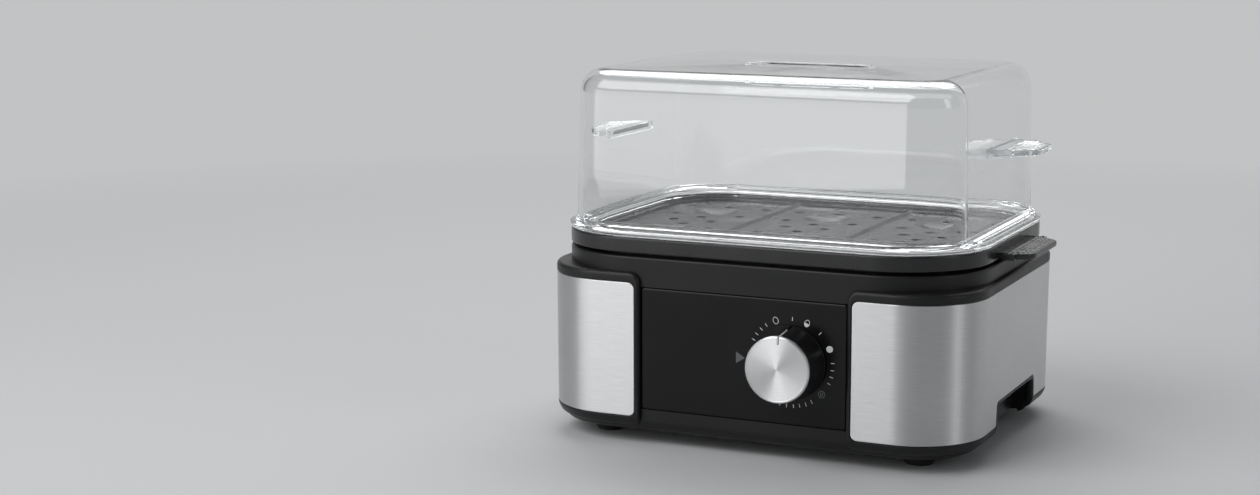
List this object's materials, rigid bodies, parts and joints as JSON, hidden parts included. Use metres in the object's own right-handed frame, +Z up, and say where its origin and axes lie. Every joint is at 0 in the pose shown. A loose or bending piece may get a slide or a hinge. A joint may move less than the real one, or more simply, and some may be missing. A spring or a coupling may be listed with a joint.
{
  "type": "electric egg boiler",
  "caption": "Electric egg boiler: moulded base with steel side wraps and one knob, lift-off perforated egg tray, and a clear lift-off hood with finger tabs.",
  "frame": {"origin": "on the worktop, under the middle of the bounding box of base, knob, tray and hood", "axes": "+Z up, -Y towards the front with the knob, +X to the right of someone facing the knob"},
  "size_m": [0.275, 0.218, 0.2024],
  "materials": {
    "black_plastic": "fine satin texture",
    "fascia_plastic": "smooth satin gloss",
    "brushed_steel": "brushed lengthwise round the body",
    "dish_steel": "pressed, dull",
    "spun_aluminium": "spun in circles, bright chamfer",
    "aluminium": "as cast",
    "plain_steel": "zinc plated",
    "clear_plastic": "clear and polished",
    "grey_plastic": "satin",
    "pale_plastic": "satin",
    "silicone": "dull",
    "rubber": "dull",
    "lead_jacket": "dull",
    "lamp_glass": "clear orange"
  },
  "bodies": {
    "base": {"base_housing": "black_plastic", "control_fascia": "fascia_plastic", "steel_wrap_right": "brushed_steel", "steel_wrap_left": "brushed_steel", "heating_dish": "dish_steel", "dish_seal": "silicone", "heat_spreader": "aluminium", "heating_element": "dish_steel", "element_clamp": "plain_steel", "boil_dry_thermostat": "grey_plastic", "thermostat_bracket": "plain_steel", "thermal_fuse": "aluminium", "fuse_clip": "plain_steel", "regulator_plate": "plain_steel", "regulator_body": "pale_plastic", "indicator_lens": "grey_plastic", "indicator_lamp": "lamp_glass", "lamp_holder": "pale_plastic", "signal_buzzer": "black_plastic", "terminal_block": "pale_plastic", "cord_gland": "black_plastic", "bottom_cover": "black_plastic", "rubber_foot_1": "rubber", "rubber_foot_2": "rubber", "rubber_foot_3": "rubber", "rubber_foot_4": "rubber", "cover_screw_1": "plain_steel", "cover_screw_2": "plain_steel", "cover_screw_3": "plain_steel", "cover_screw_4": "plain_steel", "dish_screw_1": "plain_steel", "dish_screw_2": "plain_steel", "dish_screw_3": "plain_steel", "dish_screw_4": "plain_steel", "fascia_screw_1": "plain_steel", "fascia_screw_2": "plain_steel", "fascia_screw_3": "plain_steel", "fascia_screw_4": "plain_steel", "regulator_screw_1": "plain_steel", "regulator_screw_2": "plain_steel", "heater_screw_1": "plain_steel", "heater_screw_2": "plain_steel", "heater_screw_3": "plain_steel", "heater_screw_4": "plain_steel", "lead_supply": "lead_jacket", "lead_switched": "lead_jacket", "lead_element": "lead_jacket", "lead_fuse": "lead_jacket", "lead_return": "lead_jacket"},
    "knob": {"knob_skirt": "black_plastic", "knob_face": "spun_aluminium", "knob_pointer": "pale_plastic", "regulator_shaft": "plain_steel", "knob_spring_clip": "plain_steel"},
    "egg_tray": {"egg_tray": "black_plastic"},
    "hood": {"clear_hood": "clear_plastic"}
  },
  "joints": [
    {"name": "egg_tray_lift", "type": "slide", "parent": "base", "child": "egg_tray", "axis": [0, 0, 1], "range_m": [0, 0.06]},
    {"name": "hood_lift", "type": "slide", "parent": "egg_tray", "child": "hood", "axis": [0, 0, 1], "range_m": [0, 0.12]},
    {"name": "knob_turn", "type": "hinge", "parent": "base", "child": "knob", "pos_m": [0.02765, -0.08, 0.054], "axis": [0, 1, 0], "range_deg": [-23.7, 321.5]}
  ]
}
